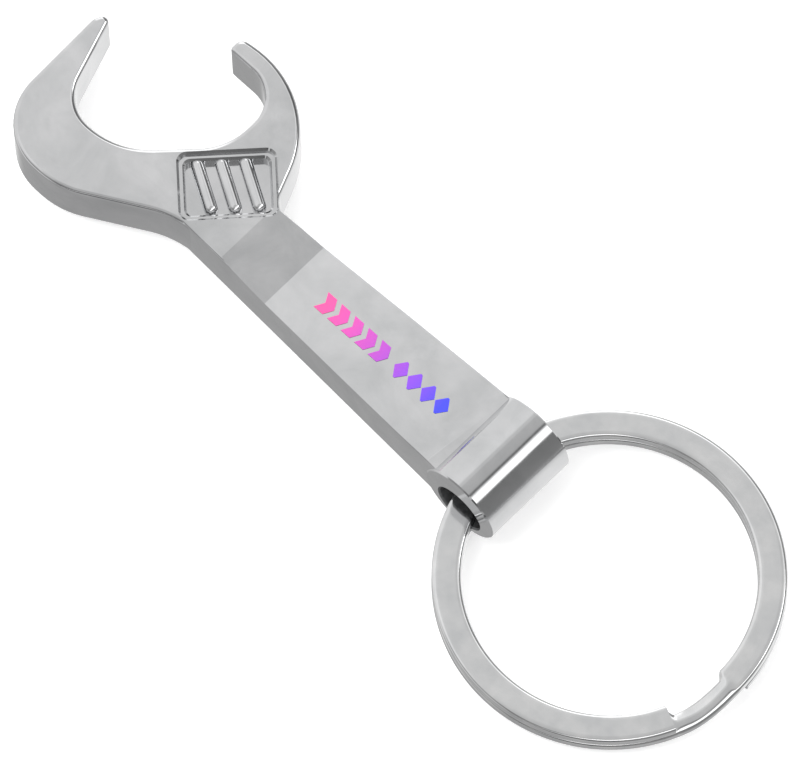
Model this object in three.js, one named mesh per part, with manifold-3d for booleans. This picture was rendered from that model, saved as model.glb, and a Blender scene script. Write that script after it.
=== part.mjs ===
// Keychain bottle opener in the shape of an adjustable spanner, with a split key ring.
//
// Units are millimetres. While the part is drawn, X runs along the handle from the mouth towards
// the ring, Y across the handle and Z up, with the origin on the barrel's axis and on the middle
// plane of the casting. The last section moves the finished assembly so that its origin is the
// bottom centre of its bounding box.
//
// Pieces: opener_body is one zinc die casting, with its worm-shaped ribs cast in a recess;
// split_ring is one flat steel wire wound twice; printed_mark is the ink motif on the handle.

import * as THREE from 'three';
import { mergeVertices } from 'three/addons/utils/BufferGeometryUtils.js';
import Module from 'manifold-3d';

const wasm = await Module();
wasm.setup();

// ---------------------------------------------------------------- driving dimensions

// casting
const BODY_THICKNESS = 5.2;
const HEAD_BEVEL = 0.38;
const HANDLE_BEVEL = 0.2;
const TOP = BODY_THICKNESS / 2;

// handle: straight sides that spread towards the barrel, with its root inside the head
const HANDLE_ROOT_X = -36;
const HANDLE_END_X = 0;
const HANDLE_HALF_WIDTH_END = 4.68;
const HANDLE_SPREAD = 0.0455;

// the two shallow flats of the handle's upper face meet in a line across it
const FACE_LINE_X = -24;
const FACE_LINE_DEPTH = 0.4;
const FACE_FLAT_START_X = -29.5;
const FACE_FLAT_END_X = -2.6;

// barrel across the end of the handle, and its bore for the ring
const BARREL_RADIUS = 3.9;
const BARREL_HALF_WIDTH = 4.7;
const BARREL_CHAMFER = 0.12;
const BORE_RADIUS = 2.35;
const BORE_Z = -0.95;
const BORE_FLARE = 0.15;

// head: the hooked jaw is an arc on its outside
const HOOK_CENTRE = new THREE.Vector2(-40, 2.97);
const HOOK_RADIUS = 9.85;
const HOOK_ARC_START = 22;
const HOOK_ARC_END = 98;

// recess with the cast worm
const RECESS_CENTRE = new THREE.Vector2(-33.85, 2);
const RECESS_TURN = 47;
const RECESS_LENGTH = 8.2;
const RECESS_WIDTH = 6;
const RECESS_CORNER = 0.75;
const RECESS_LEDGE = 0.5;
const RECESS_LEDGE_DEPTH = 0.45;
const RECESS_DEPTH = 1.3;
const RECESS_FLARE = 0.2;
const RIB_COUNT = 3;
const RIB_PITCH = 2.05;
const RIB_RADIUS = 0.62;
const RIB_SLANT = 13.5;
const RIB_OFFSET = 0.1;
const RIB_LOWER_END = -2.4;
const RIB_UPPER_END = 3;

// split ring: two turns of flat wire, lying in the bore with the far side a little lower
const RING_OUTER_RADIUS = 15;
const WIRE_WIDTH = 2.5;
const WIRE_HEIGHT = 1.05;
const TURN_GAP = 0.1;
const WIRE_EDGE = 0.3;
const CUT_END_ANGLE = -24;
const JOGGLE_START = 334;
const JOGGLE_END = 357;
const WIRE_SWEEP = 688;
const RING_TILT = 2;
const RING_DROP = 0.3;
const RING_SIDE_OFFSET = -0.3;
const RING_IN_BORE_X = -0.35;

// printed motif
const MARK_START_X = -20.85;
const MARK_LENGTH = 15;
const MARK_WIDTH = 1.8;
const MARK_THICKNESS = 0.03;
const MARK_CLEARANCE = 0.02;
const MARK_POINT = 1;

// facets
const ARC_STEP = 5;
const BEVEL_STEPS = 3;
const BARREL_FACETS = 72;
const BORE_FACETS = 48;
const RIB_FACETS = 36;
const RIB_CAP_STEPS = 6;
const WIRE_STATIONS = 138;
const CUT_MARGIN = 2;

const radians = THREE.MathUtils.degToRad;

// ---------------------------------------------------------------- small tools

// Outline with rounded corners: each corner is [x, y, fillet radius].
function roundedOutline(corners) {
  const points = [];
  const count = corners.length;
  for (let i = 0; i < count; i += 1) {
    const [x, y, radius] = corners[i];
    const corner = new THREE.Vector2(x, y);
    const before = new THREE.Vector2(...corners[(i + count - 1) % count]).sub(corner).normalize();
    const after = new THREE.Vector2(...corners[(i + 1) % count]).sub(corner).normalize();
    if (radius === 0) {
      points.push(corner);
      continue;
    }
    const half = Math.acos(THREE.MathUtils.clamp(before.dot(after), -1, 1)) / 2;
    const bisector = before.clone().add(after).normalize();
    const centre = corner.clone().addScaledVector(bisector, radius / Math.sin(half));
    const tangent = radius / Math.tan(half);
    const first = corner.clone().addScaledVector(before, tangent).sub(centre);
    const turn = (Math.PI - 2 * half) * Math.sign(before.cross(after)) * -1;
    const steps = Math.max(2, Math.ceil(Math.abs(turn) / radians(ARC_STEP)));
    for (let k = 0; k <= steps; k += 1) {
      points.push(first.clone().rotateAround(new THREE.Vector2(), turn * k / steps).add(centre));
    }
  }
  return new THREE.Shape(points);
}

// Corner whose fillet is the arc from one angle to another, in degrees, about a centre.
function arcCorner(centre, radius, from, to) {
  const middle = radians((from + to) / 2);
  const reach = radius / Math.cos(radians((to - from) / 2));
  return [centre.x + reach * Math.cos(middle), centre.y + reach * Math.sin(middle), radius];
}

function roundedRectangle(length, width, radius) {
  const [x, y] = [length / 2, width / 2];
  return roundedOutline([[-x, -y, radius], [x, -y, radius], [x, y, radius], [-x, y, radius]]);
}

function toSolid(geometry) {
  const bare = geometry.clone();
  bare.deleteAttribute('normal');
  bare.deleteAttribute('uv');
  const merged = mergeVertices(bare, 1e-5);
  return new wasm.Manifold(new wasm.Mesh({
    numProp: 3,
    vertProperties: new Float32Array(merged.attributes.position.array),
    triVerts: new Uint32Array(merged.index.array),
  }));
}

function toGeometry(solid) {
  const mesh = solid.getMesh();
  const geometry = new THREE.BufferGeometry();
  geometry.setAttribute('position', new THREE.BufferAttribute(mesh.vertProperties, 3));
  geometry.setIndex(new THREE.BufferAttribute(mesh.triVerts, 1));
  geometry.computeVertexNormals();
  return geometry;
}

// Slab from an outline in the XY plane, from z = bottom to z = top.
function slab(shape, bottom, top) {
  const geometry = new THREE.ExtrudeGeometry(shape, { depth: top - bottom, bevelEnabled: false });
  return geometry.translate(0, 0, bottom);
}

// Prism from an outline in the XZ plane, centred across the handle.
function crossPrism(points, halfWidth) {
  const shape = new THREE.Shape(points.map(([x, z]) => new THREE.Vector2(x, z)));
  const geometry = new THREE.ExtrudeGeometry(shape, { depth: 2 * halfWidth, bevelEnabled: false });
  return geometry.rotateX(Math.PI / 2).translate(0, halfWidth, 0);
}

// ---------------------------------------------------------------- materials

const nickelPlate = new THREE.MeshStandardMaterial({
  name: 'nickel_plated_zinc', color: '#c3c5c7', roughness: 0.28, metalness: 1,
});
const nickelWire = new THREE.MeshStandardMaterial({
  name: 'nickel_plated_steel', color: '#c6c7c8', roughness: 0.24, metalness: 1,
});
const printInk = new THREE.MeshStandardMaterial({
  name: 'pad_print_ink', color: '#b455d8', roughness: 0.45, metalness: 0,
});

// ---------------------------------------------------------------- opener body

// Height of the upper face above the middle plane at a place along the handle.
function faceHeight(x) {
  const span = x < FACE_LINE_X ? FACE_LINE_X - FACE_FLAT_START_X : FACE_FLAT_END_X - FACE_LINE_X;
  const away = Math.min(Math.abs(x - FACE_LINE_X) / span, 1);
  return TOP - FACE_LINE_DEPTH * (1 - away);
}

function handleHalfWidth(x) {
  return HANDLE_HALF_WIDTH_END + HANDLE_SPREAD * (x - HANDLE_END_X);
}

// The head's outline, closed by a line across the handle just inside the handle's sides.
function headOutline() {
  const neckX = -27;
  const neckHalfWidth = handleHalfWidth(neckX) - HANDLE_BEVEL;
  return roundedOutline([
    [neckX, neckHalfWidth, 0],
    [-29.54, handleHalfWidth(-29.54), 2],
    // outside of the hooked jaw, and its blunt nose
    arcCorner(HOOK_CENTRE, HOOK_RADIUS, HOOK_ARC_START, HOOK_ARC_END),
    [-42.62, 12.55, 0.9],
    [-42.62, 11, 0.5],
    // inside of the mouth, from the hooked jaw round to the long jaw
    [-36.35, 11.05, 3.4],
    [-36.35, 4.4, 6],
    [-42.92, -2.3, 7.6],
    [-49.05, -2.3, 3.9],
    // tip and outside of the long jaw
    [-52.15, 6.9, 0.55],
    [-52.98, 5, 1],
    [-52.55, -8.33, 5.9],
    // back of the head and its sweep into the handle
    [-44.03, -8.33, 8],
    [-34.95, -handleHalfWidth(-34.95), 9],
    [neckX, -neckHalfWidth, 0],
  ]);
}

function handleOutline() {
  const [start, end] = [handleHalfWidth(HANDLE_ROOT_X), HANDLE_HALF_WIDTH_END];
  return new THREE.Shape([
    [HANDLE_ROOT_X, -start], [HANDLE_END_X, -end], [HANDLE_END_X, end], [HANDLE_ROOT_X, start],
  ].map((p) => new THREE.Vector2(...p)));
}

// Full-thickness slab whose edges are rounded off; its walls stand on the outline.
function bevelledSlab(shape, bevel) {
  const geometry = new THREE.ExtrudeGeometry(shape, {
    depth: BODY_THICKNESS - 2 * bevel,
    bevelThickness: bevel,
    bevelSize: bevel,
    bevelOffset: -bevel,
    bevelSegments: BEVEL_STEPS,
  });
  return toSolid(geometry.translate(0, 0, bevel - TOP));
}

function handleFaceCut() {
  return toSolid(crossPrism([
    [FACE_FLAT_START_X, TOP],
    [FACE_LINE_X, TOP - FACE_LINE_DEPTH],
    [FACE_FLAT_END_X, TOP],
    [FACE_FLAT_END_X, TOP + CUT_MARGIN],
    [FACE_FLAT_START_X, TOP + CUT_MARGIN],
  ], BARREL_HALF_WIDTH + CUT_MARGIN));
}

function barrel() {
  const edge = BARREL_HALF_WIDTH - BARREL_CHAMFER;
  const profile = [
    [0, -BARREL_HALF_WIDTH],
    [BARREL_RADIUS - BARREL_CHAMFER, -BARREL_HALF_WIDTH],
    [BARREL_RADIUS, -edge],
    [BARREL_RADIUS, edge],
    [BARREL_RADIUS - BARREL_CHAMFER, BARREL_HALF_WIDTH],
    [0, BARREL_HALF_WIDTH],
  ];
  return toSolid(new THREE.LatheGeometry(profile.map((p) => new THREE.Vector2(...p)), BARREL_FACETS));
}

// Bore through the barrel, with its two mouths flared by a small chamfer.
function bore() {
  const [end, flare] = [BARREL_HALF_WIDTH + CUT_MARGIN, BARREL_HALF_WIDTH - BORE_FLARE];
  const wide = BORE_RADIUS + BORE_FLARE + CUT_MARGIN;
  const profile = [
    [0, -end], [wide, -end], [BORE_RADIUS, -flare], [BORE_RADIUS, flare], [wide, end], [0, end],
  ];
  const geometry = new THREE.LatheGeometry(profile.map((p) => new THREE.Vector2(...p)), BORE_FACETS);
  return toSolid(geometry.translate(0, 0, BORE_Z));
}

// Moves a geometry drawn about the recess's own centre to its place on the head.
function placeInRecess(geometry) {
  return geometry.rotateZ(radians(RECESS_TURN)).translate(RECESS_CENTRE.x, RECESS_CENTRE.y, 0);
}

// Cutter whose sides stand on an outline and flare out over the last stretch below its top.
function flaredSlab(shape, bottom, top) {
  const mouth = new THREE.ExtrudeGeometry(shape, {
    depth: CUT_MARGIN,
    bevelThickness: RECESS_FLARE,
    bevelSize: RECESS_FLARE,
    bevelSegments: 1,
  });
  mouth.translate(0, 0, top);
  return toSolid(placeInRecess(slab(shape, bottom, top))).add(toSolid(placeInRecess(mouth)));
}

function recess() {
  const rim = roundedRectangle(RECESS_LENGTH, RECESS_WIDTH, RECESS_CORNER);
  const floor = roundedRectangle(
    RECESS_LENGTH - 2 * RECESS_LEDGE,
    RECESS_WIDTH - 2 * RECESS_LEDGE,
    RECESS_CORNER - RECESS_LEDGE / 2,
  );
  const upper = flaredSlab(rim, TOP - RECESS_LEDGE_DEPTH, TOP);
  return upper.add(flaredSlab(floor, TOP - RECESS_DEPTH, TOP - RECESS_LEDGE_DEPTH));
}

// Half-round ribs that cross the recess at a slant, run into its upper wall and end rounded
// just short of its lower wall.
function wormRibs() {
  const ribs = [];
  for (let i = 0; i < RIB_COUNT; i += 1) {
    const along = RIB_OFFSET + (i - (RIB_COUNT - 1) / 2) * RIB_PITCH;
    const straight = RIB_UPPER_END - RIB_LOWER_END - 2 * RIB_RADIUS;
    const rib = new THREE.CapsuleGeometry(RIB_RADIUS, straight, RIB_CAP_STEPS, RIB_FACETS);
    rib.translate(0, (RIB_UPPER_END + RIB_LOWER_END) / 2, 0).rotateZ(radians(RIB_SLANT));
    rib.translate(along, 0, TOP - RECESS_DEPTH + RIB_RADIUS / 4);
    ribs.push(toSolid(placeInRecess(rib)));
  }
  return ribs;
}

function openerBody() {
  const head = bevelledSlab(headOutline(), HEAD_BEVEL);
  const handle = bevelledSlab(handleOutline(), HANDLE_BEVEL);
  const cast = head.add(handle).subtract(handleFaceCut()).add(barrel()).subtract(recess());
  const ribbed = wormRibs().reduce((solid, rib) => solid.add(rib), cast);
  const mesh = new THREE.Mesh(toGeometry(ribbed.subtract(bore())), nickelPlate);
  mesh.name = 'opener_body';
  return mesh;
}

// ---------------------------------------------------------------- split ring

// Centre line of the wire: a flat turn, a short step down, and a second turn under the first.
class WireLine extends THREE.Curve {
  getPoint(t, target = new THREE.Vector3()) {
    const swept = t * WIRE_SWEEP;
    const angle = radians(CUT_END_ANGLE - swept);
    const step = THREE.MathUtils.smoothstep(swept, JOGGLE_START, JOGGLE_END);
    const radius = RING_OUTER_RADIUS - WIRE_WIDTH / 2;
    const rise = (WIRE_HEIGHT + TURN_GAP) * (0.5 - step);
    return target.set(radius * Math.cos(angle), radius * Math.sin(angle), rise);
  }
}

// Section of the wire with its corners taken off; X is the wire's height, Y its width.
function wireSection() {
  const [h, w] = [WIRE_HEIGHT / 2, WIRE_WIDTH / 2];
  const corners = [[h, w - WIRE_EDGE], [h - WIRE_EDGE, w], [-h + WIRE_EDGE, w], [-h, w - WIRE_EDGE],
    [-h, -w + WIRE_EDGE], [-h + WIRE_EDGE, -w], [h - WIRE_EDGE, -w], [h, -w + WIRE_EDGE]];
  return new THREE.Shape(corners.map((c) => new THREE.Vector2(...c)));
}

function splitRing() {
  const geometry = new THREE.ExtrudeGeometry(wireSection(), {
    steps: WIRE_STATIONS,
    extrudePath: new WireLine(),
    bevelEnabled: false,
  });
  const mesh = new THREE.Mesh(geometry, nickelWire);
  mesh.name = 'split_ring';
  const ringCentreX = RING_IN_BORE_X + RING_OUTER_RADIUS - WIRE_WIDTH / 2;
  mesh.position.set(ringCentreX, RING_SIDE_OFFSET, -RING_DROP);
  const swing = new THREE.Group();
  swing.add(mesh);
  swing.position.set(0, 0, BORE_Z);
  swing.rotation.y = radians(RING_TILT);
  return swing;
}

// ---------------------------------------------------------------- printed motif

// A band with pointed ends, lying on the handle's sloping face.
function printedMark() {
  const [length, width] = [MARK_LENGTH, MARK_WIDTH / 2];
  const band = new THREE.Shape([
    [0, 0], [MARK_POINT, -width], [length - MARK_POINT, -width],
    [length, 0], [length - MARK_POINT, width], [MARK_POINT, width],
  ].map((p) => new THREE.Vector2(...p)));
  const mesh = new THREE.Mesh(slab(band, MARK_CLEARANCE, MARK_CLEARANCE + MARK_THICKNESS), printInk);
  mesh.name = 'printed_mark';
  mesh.position.set(MARK_START_X, 0, faceHeight(MARK_START_X));
  mesh.rotation.y = -Math.atan2(FACE_LINE_DEPTH, FACE_FLAT_END_X - FACE_LINE_X);
  return mesh;
}

// ---------------------------------------------------------------- assembly

const assembly = new THREE.Group();
assembly.add(openerBody(), splitRing(), printedMark());
assembly.updateMatrixWorld(true);

const box = new THREE.Box3().setFromObject(assembly, true);
const middle = box.getCenter(new THREE.Vector3());
assembly.position.set(-middle.x, -middle.y, -box.min.z);

export default assembly;
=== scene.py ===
"""Looks of a keychain bottle opener: a plated casting, its split key ring and its printed motif."""

from math import atan2, cos, radians, sin

import bmesh
import bpy
from mathutils import Matrix, Vector


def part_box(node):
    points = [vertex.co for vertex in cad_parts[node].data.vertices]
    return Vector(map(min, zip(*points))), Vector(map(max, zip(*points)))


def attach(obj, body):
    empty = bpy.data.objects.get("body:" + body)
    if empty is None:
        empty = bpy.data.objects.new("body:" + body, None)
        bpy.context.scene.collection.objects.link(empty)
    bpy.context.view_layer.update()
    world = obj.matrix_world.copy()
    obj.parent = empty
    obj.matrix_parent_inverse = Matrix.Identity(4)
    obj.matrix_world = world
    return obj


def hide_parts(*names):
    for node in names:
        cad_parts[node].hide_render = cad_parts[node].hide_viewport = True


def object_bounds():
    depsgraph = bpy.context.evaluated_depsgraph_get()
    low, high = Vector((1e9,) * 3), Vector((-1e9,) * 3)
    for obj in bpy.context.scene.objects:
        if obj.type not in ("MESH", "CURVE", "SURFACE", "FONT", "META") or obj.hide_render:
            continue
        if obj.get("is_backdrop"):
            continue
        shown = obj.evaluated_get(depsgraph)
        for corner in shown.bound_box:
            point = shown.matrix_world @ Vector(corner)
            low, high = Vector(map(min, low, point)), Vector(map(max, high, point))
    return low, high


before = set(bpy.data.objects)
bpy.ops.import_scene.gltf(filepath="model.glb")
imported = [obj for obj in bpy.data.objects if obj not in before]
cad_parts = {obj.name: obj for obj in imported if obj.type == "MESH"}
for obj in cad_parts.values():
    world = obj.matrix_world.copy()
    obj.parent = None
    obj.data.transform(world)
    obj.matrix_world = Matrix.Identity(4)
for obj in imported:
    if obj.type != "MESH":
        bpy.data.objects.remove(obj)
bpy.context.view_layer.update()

bl_info = {
    "name": "Keychain Bottle Opener",
    "version": (1, 0, 0),
    "blender": (4, 5, 0),
    "location": "View3D > Sidebar > Opener",
    "description": "Builds a spanner-shaped bottle opener with its key ring and studio",
    "category": "Add Mesh",
}

MM = 0.001

# Fixed sizes of the casting, in millimetres, that the other pieces are placed from.
BARREL_RADIUS = 3.9
BORE_BELOW_BARREL_AXIS = 0.95
# The bore's radius with its flare.
BORE_REACH = 2.45
# The handle's face rises this much over this length, from its valley to the barrel.
FACE_SLOPE = atan2(0.4, 21.4)

# Faces whose normals stand or lie nearer to level than this count as level or upright.
LEVEL_NORMAL_Z = 0.985
UPRIGHT_NORMAL_Z = 0.02


# ---------------------------------------------------------------- places


def barrel_axis():
    """Middle of the barrel that the ring hangs in."""
    low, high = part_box("opener_body")
    ring_low, ring_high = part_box("split_ring")
    settings = bpy.context.scene.opener_ring
    side = (ring_low.y + ring_high.y) / 2 - settings.side_offset * MM
    return Vector((high.x - BARREL_RADIUS * MM, side, low.z + BARREL_RADIUS * MM))


# ---------------------------------------------------------------- modelling helpers


def deselect_all():
    if bpy.context.object and bpy.context.object.mode != "OBJECT":
        bpy.ops.object.mode_set(mode="OBJECT")
    bpy.ops.object.select_all(action="DESELECT")


def make_active(piece):
    deselect_all()
    piece.select_set(True)
    bpy.context.view_layer.objects.active = piece


def copy_of_node(node_name, piece_name):
    """A free copy of a frame node's mesh, with its loose triangles joined up."""
    make_active(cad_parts[node_name])
    bpy.ops.object.duplicate()
    piece = bpy.context.object
    piece.name = piece.data.name = piece_name
    piece.parent = None
    for key in list(piece.keys()):
        del piece[key]
    piece.data.materials.clear()
    bpy.ops.object.mode_set(mode="EDIT")
    bpy.ops.mesh.select_all(action="SELECT")
    bpy.ops.mesh.remove_doubles(threshold=0.001 * MM)
    bpy.ops.object.mode_set(mode="OBJECT")
    return piece


def smooth(piece, angle):
    """Smooth shading that leaves flat faces flat, by weighing normals by their faces' areas."""
    make_active(piece)
    bpy.ops.object.shade_smooth_by_angle(angle=angle)
    modifier = piece.modifiers.new("Weighted normals", "WEIGHTED_NORMAL")
    modifier.mode = "FACE_AREA"
    modifier.weight = 80
    modifier.keep_sharp = True
    bpy.ops.object.modifier_apply(modifier=modifier.name)


def apply_place(piece, location, rotation=(0, 0, 0)):
    make_active(piece)
    piece.location = location
    piece.rotation_euler = rotation
    bpy.ops.object.transform_apply(location=True, rotation=True, scale=True)


def check_closed(piece):
    shape = bmesh.new()
    shape.from_mesh(piece.data)
    open_edges = sum(not edge.is_manifold for edge in shape.edges)
    shape.free()
    if open_edges:
        raise RuntimeError(f"{piece.name} has {open_edges} open edges")


def hand_over(piece, body, node, material):
    """Gives a finished piece its material and its place in the frame."""
    piece.data.materials.clear()
    piece.data.materials.append(material)
    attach(piece, body)
    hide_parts(node)


# ---------------------------------------------------------------- material helpers


def linear(hex_colour):
    """sRGB hex to linear RGBA."""
    parts = [int(hex_colour[i : i + 2], 16) / 255 for i in (1, 3, 5)]
    return [c / 12.92 if c <= 0.04045 else ((c + 0.055) / 1.055) ** 2.4 for c in parts] + [1]


def per_metre(millimetres):
    """Texture scale for a pattern whose features are this far apart."""
    return 1 / (millimetres * MM)


def add_node(tree, kind, settings=None, inputs=None):
    """Adds a node; an input is a value, or the output socket that it is linked from."""
    node = tree.nodes.new(kind)
    for name, value in (settings or {}).items():
        setattr(node, name, value)
    for name, value in (inputs or {}).items():
        if isinstance(value, bpy.types.NodeSocket):
            tree.links.new(value, node.inputs[name])
        else:
            node.inputs[name].default_value = value
    return node


def set_ramp(node, stops):
    """Sets a colour ramp from (position, grey value or RGBA) pairs."""
    elements = node.color_ramp.elements
    while len(elements) > 1:
        elements.remove(elements[-1])
    for i, (position, value) in enumerate(stops):
        element = elements[0] if i == 0 else elements.new(position)
        element.position = position
        element.color = value if hasattr(value, "__len__") else (value, value, value, 1)
    return node.outputs["Color"]


def new_material(name):
    material = bpy.data.materials.new(name)
    material.use_nodes = True
    material.node_tree.nodes.clear()
    return material, material.node_tree


def finish_material(tree, shader):
    output = add_node(tree, "ShaderNodeOutputMaterial")
    tree.links.new(shader.outputs["BSDF"], output.inputs["Surface"])


def bright_nickel_plate(settings):
    """Bright nickel plate on a hand-polished zinc casting.

    Nickel over a polished casting is neutral and nearly mirror bright. Under it, the casting's
    slow waves make reflections drift, and the mop leaves a haze of fine grain.
    """
    material, tree = new_material("bright_nickel_plate_on_zinc")
    place = add_node(tree, "ShaderNodeTexCoord").outputs["Object"]
    # clouds of haze where the mop pressed differently, about 5 mm across
    haze = add_node(tree, "ShaderNodeTexNoise", inputs={
        "Vector": place, "Scale": per_metre(5), "Detail": 4, "Roughness": 0.6, "Distortion": 0.4,
    }).outputs["Fac"]
    tone = set_ramp(add_node(tree, "ShaderNodeValToRGB", inputs={"Fac": haze}), [
        (0.3, linear(settings.colour_low)), (0.7, linear(settings.colour_high)),
    ])
    # mop lines along the handle, 0.12 mm apart and 20 times as long
    stretched = add_node(tree, "ShaderNodeMapping", inputs={
        "Vector": place, "Scale": (0.05, 1, 1),
    }).outputs["Vector"]
    grain = add_node(tree, "ShaderNodeTexNoise", inputs={
        "Vector": stretched, "Scale": per_metre(0.12), "Detail": 2,
    }).outputs["Fac"]
    mixed = add_node(tree, "ShaderNodeMath", {"operation": "MULTIPLY_ADD"}, {
        0: grain, 1: 0.35, 2: haze,
    }).outputs["Value"]
    roughness = add_node(tree, "ShaderNodeMapRange", inputs={
        "Value": mixed, "From Min": 0.35, "From Max": 1.0, "To Min": 0.07, "To Max": 0.14,
    }).outputs["Result"]
    # waves of the casting, about 3 mm across and under a micron high
    waves = add_node(tree, "ShaderNodeTexNoise", inputs={
        "Vector": place, "Scale": per_metre(3), "Detail": 1,
    }).outputs["Fac"]
    wavy = add_node(tree, "ShaderNodeBump", inputs={
        "Height": waves, "Strength": 1.0, "Distance": 0.012 * MM,
    }).outputs["Normal"]
    bumped = add_node(tree, "ShaderNodeBump", inputs={
        "Height": grain, "Strength": 0.6, "Distance": 0.0006 * MM, "Normal": wavy,
    }).outputs["Normal"]
    finish_material(tree, add_node(tree, "ShaderNodeBsdfPrincipled", inputs={
        "Base Color": tone, "Metallic": 1.0, "Roughness": roughness, "Normal": bumped,
    }))
    return material


def bore_plate_with_painted_shade(settings):
    """Thin plate inside the cast bore, which the mop can't reach and the ring has rubbed matt.

    Its colour is painted shade: a dark grey that stands in for the shade inside the hole, so it
    gives back only an even dark tone.
    """
    material, tree = new_material("nickel_plate_in_bore_painted_shade")
    place = add_node(tree, "ShaderNodeTexCoord").outputs["Object"]
    # rub marks of the wire round the bore, about 0.4 mm wide
    stretched = add_node(tree, "ShaderNodeMapping", inputs={
        "Vector": place, "Scale": (1, 0.25, 1),
    }).outputs["Vector"]
    rub = add_node(tree, "ShaderNodeTexNoise", inputs={
        "Vector": stretched, "Scale": per_metre(0.4), "Detail": 3,
    }).outputs["Fac"]
    # painted shade: the tone runs between two dark greys that stand in for the shade inside the
    # bore
    tone = set_ramp(add_node(tree, "ShaderNodeValToRGB", inputs={"Fac": rub}), [
        (0.3, linear(settings.bore_painted_shade_low)), (0.7, linear(settings.bore_painted_shade_high)),
    ])
    roughness = add_node(tree, "ShaderNodeMapRange", inputs={
        "Value": rub, "From Min": 0.3, "From Max": 0.7, "To Min": 0.5, "To Max": 0.65,
    }).outputs["Result"]
    bumped = add_node(tree, "ShaderNodeBump", inputs={
        "Height": rub, "Strength": 0.5, "Distance": 0.01 * MM,
    }).outputs["Normal"]
    finish_material(tree, add_node(tree, "ShaderNodeBsdfPrincipled", inputs={
        "Base Color": tone, "Metallic": 0.85, "Roughness": roughness, "Normal": bumped,
    }))
    return material


def tumbled_nickel_wire(settings):
    """Bright nickel plate on spring-steel wire that was rolled flat and tumbled.

    Tumbling gives an even satin shine with tiny round dents and no direction.
    """
    material, tree = new_material("nickel_plate_on_tumbled_steel_wire")
    place = add_node(tree, "ShaderNodeTexCoord").outputs["Object"]
    haze = add_node(tree, "ShaderNodeTexNoise", inputs={
        "Vector": place, "Scale": per_metre(2.5), "Detail": 3, "Roughness": 0.55,
    }).outputs["Fac"]
    tone = set_ramp(add_node(tree, "ShaderNodeValToRGB", inputs={"Fac": haze}), [
        (0.3, linear(settings.colour_low)), (0.7, linear(settings.colour_high)),
    ])
    roughness = add_node(tree, "ShaderNodeMapRange", inputs={
        "Value": haze, "From Min": 0.3, "From Max": 0.7, "To Min": 0.1, "To Max": 0.15,
    }).outputs["Result"]
    # dents from the tumbling stones, drawn at 0.3 mm because real ones are finer than shows
    dents = add_node(tree, "ShaderNodeTexNoise", inputs={
        "Vector": place, "Scale": per_metre(0.3), "Detail": 2,
    }).outputs["Fac"]
    bumped = add_node(tree, "ShaderNodeBump", inputs={
        "Height": dents, "Strength": 0.5, "Distance": 0.002 * MM,
    }).outputs["Normal"]
    finish_material(tree, add_node(tree, "ShaderNodeBsdfPrincipled", inputs={
        "Base Color": tone, "Metallic": 1.0, "Roughness": roughness, "Normal": bumped,
    }))
    return material


def pad_print_ink(settings, start_x):
    """Glossy pad-printing ink in a thin film that fades from pink through violet to blue."""
    material, tree = new_material("pad_print_ink_fade")
    place = add_node(tree, "ShaderNodeTexCoord").outputs["Object"]
    along = add_node(tree, "ShaderNodeSeparateXYZ", inputs={"Vector": place}).outputs["X"]
    fade = add_node(tree, "ShaderNodeMapRange", inputs={
        "Value": along, "From Min": start_x, "From Max": start_x + settings.length * MM,
    }).outputs["Result"]
    colour = set_ramp(add_node(tree, "ShaderNodeValToRGB", inputs={"Fac": fade}), [
        (0.05, linear(settings.colour_start)),
        (0.55, linear(settings.colour_middle)),
        (0.95, linear(settings.colour_end)),
    ])
    # ink film thins between the pits of the pad, about 0.2 mm apart
    film = add_node(tree, "ShaderNodeTexNoise", inputs={
        "Vector": place, "Scale": per_metre(0.2), "Detail": 2,
    }).outputs["Fac"]
    roughness = add_node(tree, "ShaderNodeMapRange", inputs={
        "Value": film, "To Min": 0.35, "To Max": 0.55,
    }).outputs["Result"]
    bumped = add_node(tree, "ShaderNodeBump", inputs={
        "Height": film, "Strength": 0.4, "Distance": 0.003 * MM,
    }).outputs["Normal"]
    finish_material(tree, add_node(tree, "ShaderNodeBsdfPrincipled", inputs={
        "Base Color": colour, "Roughness": roughness, "IOR": 1.5, "Normal": bumped,
    }))
    return material


# ---------------------------------------------------------------- settings


def colour_setting(name, value):
    return bpy.props.StringProperty(name=name, description="sRGB colour as #RRGGBB", default=value)


class OpenerCastingSettings(bpy.types.PropertyGroup):
    crease_angle: bpy.props.FloatProperty(
        name="Crease angle", description="Edges sharper than this stay crisp", subtype="ANGLE",
        default=radians(40), min=0, max=radians(180),
    )
    wall_angle: bpy.props.FloatProperty(
        name="Wall angle", description="The same, for edges of upright walls", subtype="ANGLE",
        default=radians(8), min=0, max=radians(180),
    )
    colour_low: colour_setting("Darker plate", "#C8C9CA")
    colour_high: colour_setting("Lighter plate", "#DADADB")
    # painted shade: dark greys that stand in for the shade inside the bore
    bore_painted_shade_low: colour_setting("Darker painted shade in bore", "#6E6F70")
    bore_painted_shade_high: colour_setting("Lighter painted shade in bore", "#858687")


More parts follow.
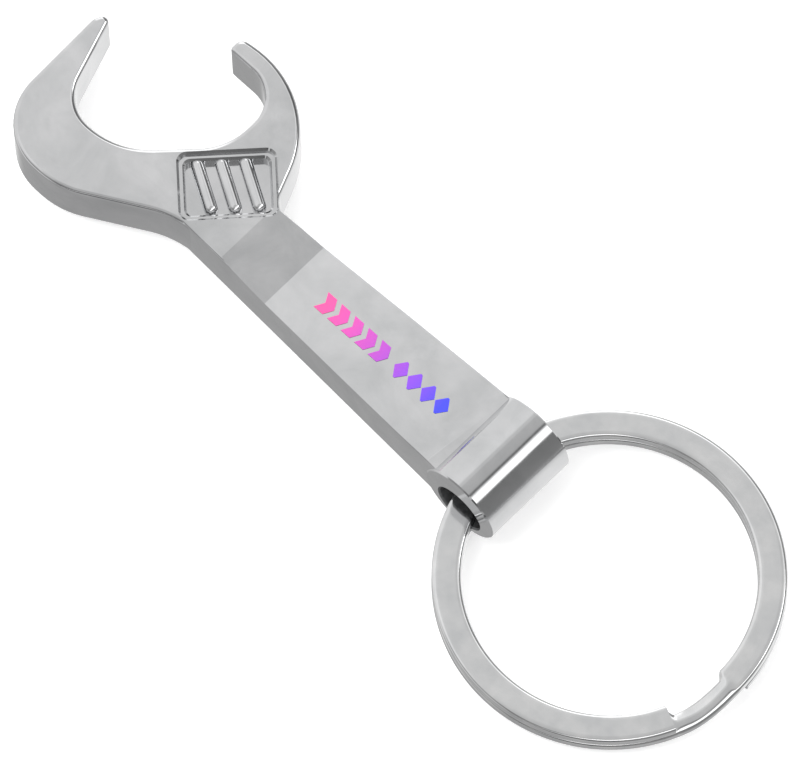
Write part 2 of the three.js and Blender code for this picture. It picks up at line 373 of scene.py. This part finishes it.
class OpenerRingSettings(bpy.types.PropertyGroup):
    outer_radius: bpy.props.FloatProperty(
        name="Outer radius", description="Radius to the ring's outer edge, in millimetres",
        default=15.0, min=8.0, max=25.0,
    )
    wire_width: bpy.props.FloatProperty(
        name="Wire width", description="Width of the flat wire, in millimetres", default=2.5,
    )
    wire_height: bpy.props.FloatProperty(
        name="Wire height", description="Height of the flat wire, in millimetres", default=1.05,
    )
    wire_edge: bpy.props.FloatProperty(
        name="Wire edge", description="Rounding of the wire's edges, in millimetres", default=0.34,
    )
    turn_gap: bpy.props.FloatProperty(
        name="Turn gap", description="Gap between the two turns, in millimetres", default=0.1,
    )
    tilt: bpy.props.FloatProperty(
        name="Tilt", description="Slope of the ring down from the barrel", subtype="ANGLE",
        default=radians(2),
    )
    drop: bpy.props.FloatProperty(
        name="Drop", description="Ring below the bore's axis, in millimetres", default=0.3,
    )
    pinch: bpy.props.FloatProperty(
        name="Pinch", description="Share of its width that the wire loses in its step",
        default=0.22, min=0, max=0.5,
    )
    crown: bpy.props.FloatProperty(
        name="Crown", description="Fall of the step's upper face to its sides, in millimetres",
        default=0.36, min=0, max=0.6,
    )
    side_offset: bpy.props.FloatProperty(
        name="Side offset", description="Ring's place across the barrel, in millimetres",
        default=-0.3,
    )
    in_bore: bpy.props.FloatProperty(
        name="Place in bore", description="Wire's middle along the handle, in millimetres",
        default=-0.35,
    )
    colour_low: colour_setting("Darker wire", "#D6D7D8")
    colour_high: colour_setting("Lighter wire", "#E6E6E6")


class OpenerMotifSettings(bpy.types.PropertyGroup):
    length: bpy.props.FloatProperty(
        name="Length", description="Length of the printed motif, in millimetres", default=15.0,
    )
    height: bpy.props.FloatProperty(
        name="Height", description="Height of its shapes, in millimetres", default=1.8,
    )
    film: bpy.props.FloatProperty(
        name="Film", description="Thickness of the ink, in millimetres", default=0.03, precision=3,
    )
    colour_start: colour_setting("Start colour", "#FF5FA8")
    colour_middle: colour_setting("Middle colour", "#B455D8")
    colour_end: colour_setting("End colour", "#4B50FF")


class OpenerStageSettings(bpy.types.PropertyGroup):
    azimuth: bpy.props.FloatProperty(
        name="Camera azimuth", description="Camera's turn round the object", subtype="ANGLE",
        default=radians(46.594),
    )
    elevation: bpy.props.FloatProperty(
        name="Camera elevation", description="Camera's height as an angle", subtype="ANGLE",
        default=radians(67.218),
    )
    roll: bpy.props.FloatProperty(
        name="Camera roll", description="Camera's turn about its own axis", subtype="ANGLE",
        default=radians(-2.457),
    )
    distance: bpy.props.FloatProperty(
        name="Camera distance", description="Camera to the object", unit="LENGTH", default=1.384,
    )
    lens: bpy.props.FloatProperty(
        name="Focal length", description="Camera's focal length, in millimetres", default=736.4,
    )
    lamp_size: bpy.props.FloatProperty(
        name="Lamp size", description="Diameter of the overhead lamp", unit="LENGTH", default=0.5,
    )
    lamp_power: bpy.props.FloatProperty(
        name="Lamp power", description="Power of the overhead lamp", unit="POWER", default=2.2,
    )
    floor_size: bpy.props.FloatProperty(
        name="Floor size", description="Side of the square floor", unit="LENGTH", default=6,
    )
    floor_colour: colour_setting("Floor", "#FFFFFF")


SETTINGS = {
    "opener_casting": OpenerCastingSettings,
    "opener_ring": OpenerRingSettings,
    "opener_motif": OpenerMotifSettings,
    "opener_stage": OpenerStageSettings,
}


# ---------------------------------------------------------------- pieces


class OPENER_OT_casting(bpy.types.Operator):
    """Shades the casting's flats, roundings and creases, and plates it"""

    bl_idname = "opener.casting"
    bl_label = "Opener casting"

    def execute(self, context):
        settings = context.scene.opener_casting
        piece = copy_of_node("opener_body", "opener_casting")
        check_closed(piece)
        make_active(piece)
        # the frame's own shading would hide the creases
        bpy.ops.mesh.customdata_custom_splitnormals_clear()
        bpy.ops.object.shade_smooth()
        self.keep_flats_flat(piece, settings.crease_angle, settings.wall_angle)
        hand_over(piece, "opener", "opener_body", bright_nickel_plate(settings))
        # a second plate for the bore, painted dark as painted shade in the hole
        piece.data.materials.append(bore_plate_with_painted_shade(settings))
        self.paint_shade_in_bore(piece)
        return {"FINISHED"}

    @staticmethod
    def paint_shade_in_bore(piece):
        """Gives the faces inside the bore the plate with painted shade."""
        bore = barrel_axis() - Vector((0, 0, BORE_BELOW_BARREL_AXIS * MM))
        for face in piece.data.polygons:
            out = face.center - bore
            out.y = 0
            if out.length < BORE_REACH * MM and face.normal.dot(out) < 0:
                face.material_index = 1

    @staticmethod
    def keep_flats_flat(piece, crease_angle, wall_angle):
        """Shades level faces flat, and keeps creases and the walls' borders crisp."""
        bpy.ops.object.mode_set(mode="EDIT")
        bpy.ops.mesh.select_mode(type="EDGE")
        bpy.ops.mesh.select_all(action="DESELECT")
        shape = bmesh.from_edit_mesh(piece.data)
        for edge in shape.edges:
            upright = any(abs(face.normal.z) < UPRIGHT_NORMAL_Z for face in edge.link_faces)
            edge.select = edge.calc_face_angle() > (wall_angle if upright else crease_angle)
        bmesh.update_edit_mesh(piece.data)
        bpy.ops.mesh.mark_sharp()
        bpy.ops.mesh.select_mode(type="FACE")
        bpy.ops.mesh.select_all(action="DESELECT")
        barrel_start = barrel_axis().x - BARREL_RADIUS * MM
        shape = bmesh.from_edit_mesh(piece.data)
        for face in shape.faces:
            level = abs(face.normal.z) > LEVEL_NORMAL_Z
            face.select = level and face.calc_center_median().x < barrel_start
        bmesh.update_edit_mesh(piece.data)
        bpy.ops.mesh.faces_shade_flat()
        bpy.ops.object.mode_set(mode="OBJECT")


class OPENER_OT_split_ring(bpy.types.Operator):
    """Winds the split ring from flat wire, with its step where one turn passes to the next"""

    bl_idname = "opener.split_ring"
    bl_label = "Split ring"

    def execute(self, context):
        settings = context.scene.opener_ring
        radius = (settings.outer_radius - settings.wire_width / 2) * MM
        rise = (settings.wire_height + settings.turn_gap) * MM
        deselect_all()
        # section of the wire, standing across the ring at angle 0
        bpy.ops.mesh.primitive_plane_add(size=1, location=(0, 0, 0), rotation=(radians(90), 0, 0))
        piece = context.object
        piece.name = piece.data.name = "key_ring_wire"
        piece.scale = (settings.wire_width * MM, settings.wire_height * MM, 1)
        bpy.ops.object.transform_apply(location=False, rotation=True, scale=True)
        apply_place(piece, (radius, 0, rise / 2))
        bpy.ops.object.mode_set(mode="EDIT")
        bpy.ops.mesh.select_mode(type="VERT")
        bpy.ops.mesh.select_all(action="SELECT")
        bpy.ops.mesh.bevel(
            offset=settings.wire_edge * MM, segments=5, affect="VERTICES", clamp_overlap=True,
        )
        add_flat_points(piece)
        # the whole section, face and all, is what is wound
        bpy.ops.mesh.select_mode(type="FACE")
        bpy.ops.mesh.select_all(action="SELECT")
        wind(UPPER_TURN, UPPER_TURN // 2)
        step_down(piece, settings, rise)
        wind(LOWER_TURN, LOWER_TURN // 2)
        bpy.ops.mesh.select_all(action="SELECT")
        bpy.ops.mesh.remove_doubles(threshold=0.001 * MM)
        bpy.ops.mesh.normals_make_consistent(inside=False)
        bpy.ops.object.mode_set(mode="OBJECT")
        check_closed(piece)
        apply_place(piece, (0, 0, 0), (0, 0, radians(CUT_END_ANGLE)))
        centre = MM * Vector((settings.in_bore, settings.side_offset, -settings.drop))
        centre.x += radius
        centre.rotate(Matrix.Rotation(settings.tilt, 3, "Y"))
        bore = barrel_axis() - Vector((0, 0, BORE_BELOW_BARREL_AXIS * MM))
        apply_place(piece, bore + centre, (0, settings.tilt, 0))
        smooth(piece, radians(50))
        hand_over(piece, "ring", "split_ring", tumbled_nickel_wire(settings))
        return {"FINISHED"}


# Degrees that the wire turns above its step, in it and below it, and where its upper end lies.
UPPER_TURN = 334
STEP_TURN = 26
LOWER_TURN = 331
CUT_END_ANGLE = -24


def wind(degrees, steps):
    """Spins the selected section of wire round the ring's axis, in edit mode."""
    bpy.ops.mesh.spin(
        steps=steps, angle=radians(degrees), center=(0, 0, 0), axis=(0, 0, 1),
        use_auto_merge=False,
    )


def add_flat_points(piece):
    """Divides the long sides of the wire's section, so that the press can round them."""
    bpy.ops.mesh.select_mode(type="EDGE")
    bpy.ops.mesh.select_all(action="DESELECT")
    shape = bmesh.from_edit_mesh(piece.data)
    for edge in shape.edges:
        edge.select = edge.calc_length() > 1.2 * MM
    bmesh.update_edit_mesh(piece.data)
    bpy.ops.mesh.subdivide(number_cuts=7)


def smooth_share(value):
    value = min(max(value, 0.0), 1.0)
    return value * value * (3 - 2 * value)


def step_down(piece, settings, rise):
    """Pressed step of the wire from the upper turn to the lower one.

    The press squeezes the wire from its inner side and crowns its upper face. The wire is pinched
    within the first degrees and stays pinched until it lies under the upper turn's end.
    """
    outer_radius = settings.outer_radius * MM
    steps = 2 * STEP_TURN
    pinch_starts, pinch_ends, falls_over = 3.5, 2.5, 21
    squeeze, fall, crown = 1.0, 0.0, 0.0
    for i in range(1, steps + 1):
        turned = STEP_TURN * i / steps
        wind(STEP_TURN / steps, 1)
        left = STEP_TURN - turned
        pinch = smooth_share(turned / pinch_starts) * smooth_share(left / pinch_ends)
        next_squeeze = 1 - settings.pinch * pinch
        next_fall = rise * smooth_share(turned / falls_over)
        next_crown = settings.crown * MM * pinch
        bpy.ops.transform.translate(value=(0, 0, fall - next_fall))
        shape = bmesh.from_edit_mesh(piece.data)
        section = [vertex for vertex in shape.verts if vertex.select]
        middle = sum((vertex.co for vertex in section), Vector()) / len(section)
        outer = Vector((middle.x, middle.y, 0)).normalized() * outer_radius
        factor = next_squeeze / squeeze
        bpy.ops.transform.resize(
            value=(factor, factor, 1), center_override=(outer.x, outer.y, middle.z),
        )
        crown_section(piece, middle, settings, next_crown - crown)
        squeeze, fall, crown = next_squeeze, next_fall, next_crown


def crown_section(piece, middle, settings, drop):
    """Lowers the upper face of the selected section towards its two sides."""
    shape = bmesh.from_edit_mesh(piece.data)
    centre_radius = Vector((middle.x, middle.y)).length
    for vertex in shape.verts:
        if vertex.select and vertex.co.z > middle.z:
            off = abs(vertex.co.xy.length - centre_radius) / (settings.wire_width * MM / 2)
            vertex.co.z -= drop * min(off, 1.0) ** 2
    bmesh.update_edit_mesh(piece.data)


class OPENER_OT_printed_motif(bpy.types.Operator):
    """Prints a row of chevrons and lozenges along the handle"""

    bl_idname = "opener.printed_motif"
    bl_label = "Printed motif"

    def execute(self, context):
        settings = context.scene.opener_motif
        low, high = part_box("printed_mark")
        # the shapes are drawn flat from x = 0, then laid on the handle's sloping face
        chevron = self.add_shape("motif_chevron", settings, 0.5, 0.52)
        lozenge = self.add_shape("motif_lozenge", settings, 0.0, 0.74)
        chevrons, lozenges, gap, margin = 5, 4, 0.6, 0.35
        pitch = settings.length / 9.4
        copies = []
        for i in range(chevrons + lozenges):
            source = chevron if i < chevrons else lozenge
            x = (i + (gap if i >= chevrons else 0) + margin) * pitch * MM
            make_active(source)
            bpy.ops.object.duplicate()
            apply_place(context.object, (x, 0, 0))
            copies.append(context.object)
        deselect_all()
        for spare in (chevron, lozenge):
            bpy.data.objects.remove(spare)
        for shape in copies:
            shape.select_set(True)
        piece = copies[0]
        context.view_layer.objects.active = piece
        bpy.ops.object.join()
        piece.name = piece.data.name = "printed_motif"
        start = Vector((low.x, (low.y + high.y) / 2, low.z))
        apply_place(piece, start, (0, -FACE_SLOPE, 0))
        check_closed(piece)
        hand_over(piece, "opener", "printed_mark", pad_print_ink(settings, low.x))
        return {"FINISHED"}

    @staticmethod
    def add_shape(name, settings, point, half_width):
        """A flat bar, in mm, whose middle is pushed forward by point into a chevron.

        With no point, the bar's two ends are pinched instead, into a lozenge.
        """
        deselect_all()
        bpy.ops.mesh.primitive_grid_add(x_subdivisions=1, y_subdivisions=2, size=1)
        piece = bpy.context.object
        piece.name = name
        piece.scale = (2 * half_width * MM, settings.height * MM, 1)
        bpy.ops.object.transform_apply(location=False, rotation=False, scale=True)
        bpy.ops.object.mode_set(mode="EDIT")
        bpy.ops.mesh.select_mode(type="VERT")
        bpy.ops.mesh.select_all(action="DESELECT")
        shape = bmesh.from_edit_mesh(piece.data)
        for vertex in shape.verts:
            middle = abs(vertex.co.y) < 0.01 * MM
            vertex.select = middle if point else not middle
        shape.select_flush_mode()
        bmesh.update_edit_mesh(piece.data)
        if point:
            bpy.ops.transform.translate(value=(point * MM, 0, 0))
        else:
            bpy.ops.transform.resize(value=(0.12, 1, 1), center_override=(0, 0, 0))
        bpy.ops.mesh.select_mode(type="FACE")
        bpy.ops.mesh.select_all(action="SELECT")
        film = settings.film * MM
        bpy.ops.mesh.extrude_region_move(TRANSFORM_OT_translate={"value": (0, 0, film)})
        bpy.ops.mesh.select_all(action="SELECT")
        bpy.ops.mesh.normals_make_consistent(inside=False)
        bpy.ops.object.mode_set(mode="OBJECT")
        return piece


# ---------------------------------------------------------------- stage


def studio_world():
    """Light tent round the object: pale over the mouth's side, a narrow softbox on the ring's.

    Its first ramp runs once round the handle's cross axis, from straight down over the mouth's
    side, the top and the ring's side back to straight down. Its second runs across the handle.
    """
    world = bpy.data.worlds.new("light_tent")
    world.use_nodes = True
    tree = world.node_tree
    tree.nodes.clear()
    place = add_node(tree, "ShaderNodeTexCoord").outputs["Generated"]
    split = add_node(tree, "ShaderNodeSeparateXYZ", inputs={"Vector": place}).outputs
    turn = add_node(tree, "ShaderNodeMath", {"operation": "ARCTAN2"}, {
        0: split["X"], 1: split["Z"],
    }).outputs["Value"]
    along = add_node(tree, "ShaderNodeMapRange", inputs={
        "Value": turn, "From Min": radians(-180), "From Max": radians(180),
    }).outputs["Result"]
    degrees_and_light = [
        (-180, 0.42), (-150, 0.46), (-115, 0.75), (-100, 0.95), (-60, 0.95), (-48, 0.95),
        (-25, 1.0), (-19.5, 0.99), (-18, 0.78), (-11, 0.76), (-9.5, 0.64), (12, 0.6), (16, 0.56),
        (18, 0.2), (22, 0.2), (24, 0.7), (28, 1.8), (44, 2.0), (47, 0.24), (70, 0.26),
        (98, 0.3), (101, 0.14), (104, 0.5), (140, 0.52), (165, 0.46), (180, 0.42),
    ]
    tent = set_ramp(add_node(tree, "ShaderNodeValToRGB", inputs={"Fac": along}), [
        ((degrees + 180) / 360, light) for degrees, light in degrees_and_light
    ])
    below = add_node(tree, "ShaderNodeMapRange", {"interpolation_type": "SMOOTHSTEP"}, {
        "Value": split["Z"], "From Min": 0.0, "From Max": -0.5,
    }).outputs["Result"]
    far_side = add_node(tree, "ShaderNodeMapRange", {"interpolation_type": "SMOOTHSTEP"}, {
        "Value": split["Y"], "From Min": -0.1, "From Max": 0.38, "To Min": 0, "To Max": 0.55,
    }).outputs["Result"]
    lift = add_node(tree, "ShaderNodeMath", {"operation": "MULTIPLY"}, {
        0: below, 1: far_side,
    }).outputs["Value"]
    # across the handle, as shares of twice the tent's light: a white panel on the far side, and
    # black cards at both ends
    across = add_node(tree, "ShaderNodeMapRange", inputs={
        "Value": split["Y"], "From Min": -1, "From Max": 1,
    }).outputs["Result"]
    cards = set_ramp(add_node(tree, "ShaderNodeValToRGB", inputs={"Fac": across}), [
        ((y + 1) / 2, light) for y, light in [
            (-1, 0.2), (-0.8, 0.2), (-0.5, 0.5), (-0.2, 0.5), (0.38, 0.5), (0.5, 0.85),
            (0.72, 0.9), (0.8, 0.14), (1, 0.14),
        ]
    ])
    above = add_node(tree, "ShaderNodeMapRange", {"interpolation_type": "SMOOTHSTEP"}, {
        "Value": split["Z"], "From Min": 0.0, "From Max": 0.12,
    }).outputs["Result"]
    share = add_node(tree, "ShaderNodeMapRange", inputs={
        "Value": above, "To Min": 0.5, "To Max": cards,
    }).outputs["Result"]
    shaded = add_node(tree, "ShaderNodeMath", {"operation": "MULTIPLY"}, {0: tent, 1: share})
    light = add_node(tree, "ShaderNodeMath", {"operation": "MULTIPLY_ADD"}, {
        0: shaded.outputs["Value"], 1: 2.0, 2: lift,
    })
    background = add_node(tree, "ShaderNodeBackground", inputs={"Color": light.outputs["Value"]})
    output = add_node(tree, "ShaderNodeOutputWorld")
    tree.links.new(background.outputs["Background"], output.inputs["Surface"])
    return world


def camera_matrix(settings, target):
    """Place and turn of the camera that looks at the target."""
    azimuth, elevation, roll = settings.azimuth, settings.elevation, settings.roll
    forward = Vector((
        -sin(azimuth) * cos(elevation), cos(azimuth) * cos(elevation), -sin(elevation),
    ))
    level = Vector((cos(azimuth), sin(azimuth), 0))
    upright = level.cross(forward)
    right = cos(roll) * level + sin(roll) * upright
    up = cos(roll) * upright - sin(roll) * level
    turn = Matrix((right, up, -forward)).transposed().to_4x4()
    return Matrix.Translation(target - settings.distance * forward) @ turn


class OPENER_OT_stage(bpy.types.Operator):
    """Sets the floor, the light tent and the camera"""

    bl_idname = "opener.stage"
    bl_label = "Stage"

    def execute(self, context):
        settings = context.scene.opener_stage
        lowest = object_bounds()[0]
        deselect_all()
        bpy.ops.mesh.primitive_plane_add(size=settings.floor_size, location=(0, 0, lowest[2]))
        floor = context.object
        floor.name = "floor"
        # the floor stays out of the metal's reflections, which the tent below it takes
        floor.visible_glossy = False
        floor.visible_shadow = False
        material, tree = new_material("matt_white_paper")
        finish_material(tree, add_node(tree, "ShaderNodeBsdfPrincipled", inputs={
            "Base Color": linear(settings.floor_colour), "Roughness": 0.9,
            "Specular IOR Level": 0.1,
            "Emission Color": linear(settings.floor_colour), "Emission Strength": 0.35,
        }))
        floor.data.materials.append(material)
        floor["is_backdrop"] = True
        context.scene.world = studio_world()
        context.scene.view_settings.view_transform = "Standard"
        bpy.ops.object.light_add(type="AREA", location=(-0.25, -0.2, 0.6))
        lamp = context.object
        lamp.name = "overhead_softbox"
        lamp.data.shape = "DISK"
        lamp.data.size = settings.lamp_size
        lamp.data.energy = settings.lamp_power
        # only lights the floor and the print: in the metal it would show as a white disk
        lamp.visible_glossy = False
        lamp.rotation_euler = (-lamp.location).to_track_quat("-Z", "Y").to_euler()
        bpy.ops.object.camera_add()
        camera = context.object
        camera.name = "camera"
        camera.data.sensor_width = 36
        camera.data.lens = settings.lens
        # the view's middle lies on the barrel's axis plane, towards the head
        target = barrel_axis() + Vector((-11.518, -0.014, 0)) * MM
        camera.matrix_world = camera_matrix(settings, target)
        context.scene.camera = camera
        return {"FINISHED"}


# ---------------------------------------------------------------- panel and registration

OPERATORS = (
    OPENER_OT_casting, OPENER_OT_split_ring, OPENER_OT_printed_motif, OPENER_OT_stage,
)


class OPENER_PT_panel(bpy.types.Panel):
    bl_label = "Keychain Bottle Opener"
    bl_idname = "OPENER_PT_panel"
    bl_space_type = "VIEW_3D"
    bl_region_type = "UI"
    bl_category = "Opener"

    def draw(self, context):
        for operator in OPERATORS:
            self.layout.operator(operator.bl_idname)
        for attribute, group in SETTINGS.items():
            box = self.layout.box()
            box.label(text=attribute.replace("_", " ").capitalize())
            for name in group.__annotations__:
                box.prop(getattr(context.scene, attribute), name)


def register():
    for cls in (*SETTINGS.values(), *OPERATORS, OPENER_PT_panel):
        bpy.utils.register_class(cls)
    for attribute, group in SETTINGS.items():
        setattr(bpy.types.Scene, attribute, bpy.props.PointerProperty(type=group))


def unregister():
    for attribute in SETTINGS:
        delattr(bpy.types.Scene, attribute)
    for cls in reversed((*SETTINGS.values(), *OPERATORS, OPENER_PT_panel)):
        bpy.utils.unregister_class(cls)


def main():
    register()
    bpy.ops.opener.casting()
    bpy.ops.opener.split_ring()
    bpy.ops.opener.printed_motif()
    bpy.ops.opener.stage()


if __name__ == "__main__":
    main()
